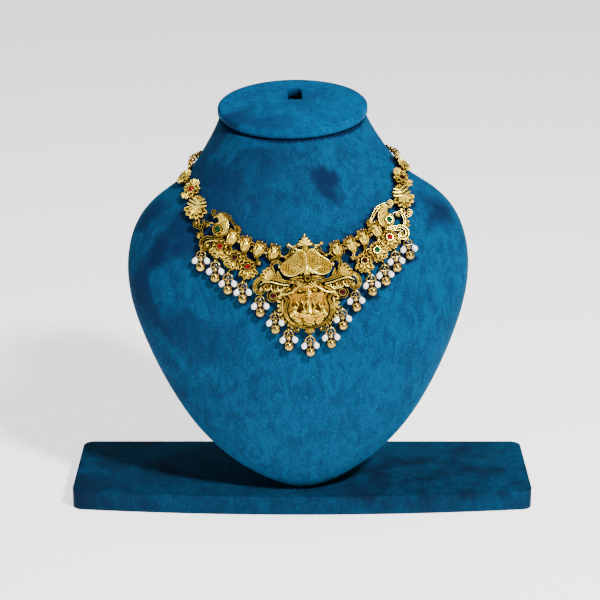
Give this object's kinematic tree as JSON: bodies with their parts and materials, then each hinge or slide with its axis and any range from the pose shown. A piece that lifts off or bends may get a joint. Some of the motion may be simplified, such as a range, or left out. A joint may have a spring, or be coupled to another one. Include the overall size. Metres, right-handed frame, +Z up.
{
  "type": "temple jewellery necklace on a neck bust",
  "caption": "Cast gold temple necklace with a seated goddess in its middle, side plaques, stones and pearl drops, on a velvet neck bust with a base board.",
  "frame": {"origin": "middle of the underside of the base board", "axes": "+X to the right as seen from the front, along the board's length, +Z up, the chest faces -Y"},
  "size_m": [0.258, 0.1147, 0.2253],
  "materials": {
    "velvet": "crushed teal velvet",
    "gold": "antique gold casting",
    "gold_wire": "antique gold wire",
    "pearl": "white pearl",
    "red_stone": "faceted red stone",
    "dark_stone": "faceted dark red stone",
    "green_stone": "faceted green stone",
    "yellow_stone": "small faceted yellow stone"
  },
  "bodies": {
    "root": {"bust_form": "velvet", "neck_cap": "velvet", "rear_prop": "velvet", "base_board": "velvet", "centre_plaque": "gold", "crest_stone": "yellow_stone", "navel_stone": "dark_stone", "connecting_rings": "gold_wire", "clasp": "gold", "middle_drop": "gold", "middle_pearls": "pearl", "left_bud_link": "gold", "left_lotus_plaque": "gold", "left_peacock_plaque": "gold", "left_fan_link": "gold", "left_floral_link": "gold", "left_scroll_link": "gold", "left_chain": "gold_wire", "left_pearls": "pearl", "left_leaf_stone": "dark_stone", "left_lotus_stone": "red_stone", "left_inner_stone": "dark_stone", "left_outer_stone": "red_stone", "left_peacock_stone": "green_stone", "left_floral_stone": "red_stone", "left_drop_1": "gold", "left_drop_2": "gold", "left_drop_3": "gold", "left_drop_4": "gold", "left_drop_5": "gold", "left_drop_6": "gold", "left_drop_7": "gold", "right_bud_link": "gold", "right_lotus_plaque": "gold", "right_peacock_plaque": "gold", "right_fan_link": "gold", "right_floral_link": "gold", "right_scroll_link": "gold", "right_chain": "gold_wire", "right_pearls": "pearl", "right_leaf_stone": "dark_stone", "right_lotus_stone": "red_stone", "right_inner_stone": "green_stone", "right_outer_stone": "red_stone", "right_peacock_stone": "green_stone", "right_floral_stone": "red_stone", "right_drop_1": "gold", "right_drop_2": "gold", "right_drop_3": "gold", "right_drop_4": "gold", "right_drop_5": "gold", "right_drop_6": "gold", "right_drop_7": "gold"}
  },
  "joints": []
}
